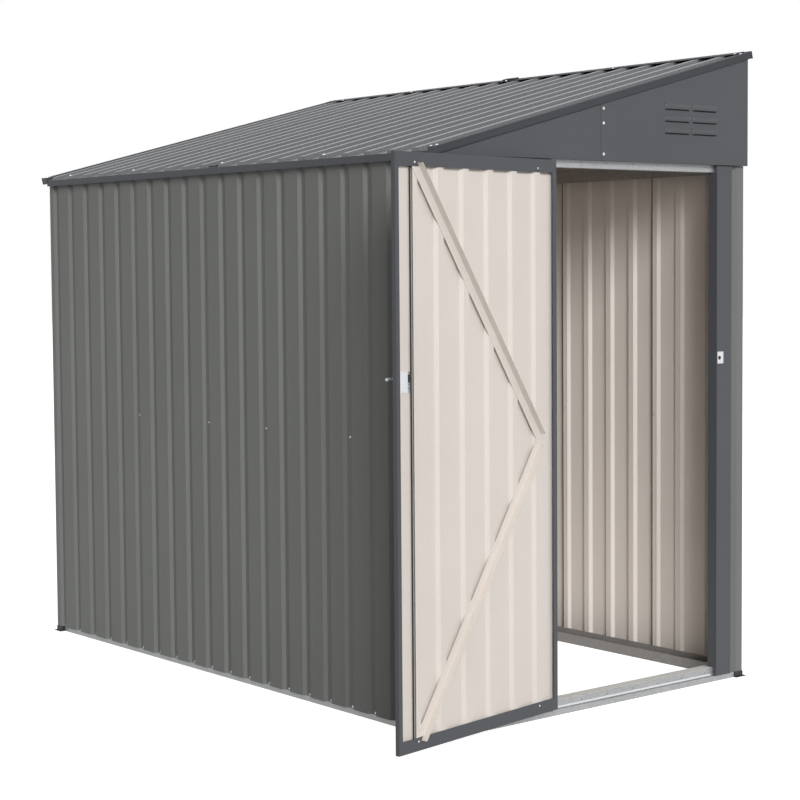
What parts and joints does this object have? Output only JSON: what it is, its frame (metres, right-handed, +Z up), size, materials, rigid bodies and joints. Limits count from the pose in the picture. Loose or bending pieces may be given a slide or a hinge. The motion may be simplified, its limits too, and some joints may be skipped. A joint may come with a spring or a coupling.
{
  "type": "metal storage shed",
  "caption": "Lean-to garden shed of ribbed steel sheets on a folded rail frame, with louvred gables, a single-slope roof and a braced hinged door.",
  "frame": {"origin": "centre of the walls' footprint, at ground level", "axes": "+X across the front towards the high side, +Y from the front to the back, +Z up"},
  "size_m": [1.6191, 2.3468, 2.0296],
  "materials": {
    "painted_sheet": "satin paint",
    "roof_sheet": "satin paint",
    "grey_trim": "satin paint",
    "cream_brace": "satin paint",
    "galvanised": "zinc coating",
    "black_plastic": "matt"
  },
  "bodies": {
    "shed": {"back_gable_high": "grey_trim", "back_gable_low": "grey_trim", "back_wall_sheet": "painted_sheet", "base_rail_back": "galvanised", "base_rail_high": "galvanised", "base_rail_low": "galvanised", "corner_feet": "black_plastic", "corner_sheet_back_high": "painted_sheet", "corner_sheet_back_low": "painted_sheet", "corner_sheet_front_high": "painted_sheet", "corner_sheet_front_low": "painted_sheet", "eave_trim_back": "grey_trim", "eave_trim_front": "grey_trim", "front_gable_high": "grey_trim", "front_gable_low": "grey_trim", "front_header": "galvanised", "front_sill": "galvanised", "high_beam": "galvanised", "high_wall_sheets": "painted_sheet", "hinge_post": "grey_trim", "lock_keeper": "galvanised", "lock_post": "grey_trim", "low_wall_sheets": "painted_sheet", "post_hinges": "galvanised", "rafter": "galvanised", "ridge_trim_back": "grey_trim", "ridge_trim_front": "grey_trim", "roof_sheets": "roof_sheet", "top_rail_back": "galvanised", "top_rail_high": "galvanised", "top_rail_low": "galvanised", "upper_panel": "grey_trim", "verge_trim_back": "grey_trim", "verge_trim_front": "grey_trim"},
    "door": {"door_bottom_rail": "grey_trim", "door_brace_lower": "cream_brace", "door_brace_upper": "cream_brace", "door_hinge_stile": "grey_trim", "door_hinges": "galvanised", "door_latch": "galvanised", "door_lock_stile": "grey_trim", "door_sheet_lock": "painted_sheet", "door_sheet_main": "painted_sheet", "door_top_rail": "grey_trim"}
  },
  "joints": [
    {"name": "door_hinge", "type": "hinge", "parent": "shed", "child": "door", "pos_m": [-0.21, -1.1009, 0], "axis": [0, 0, -1], "range_deg": [-170.8, 4.2]}
  ]
}
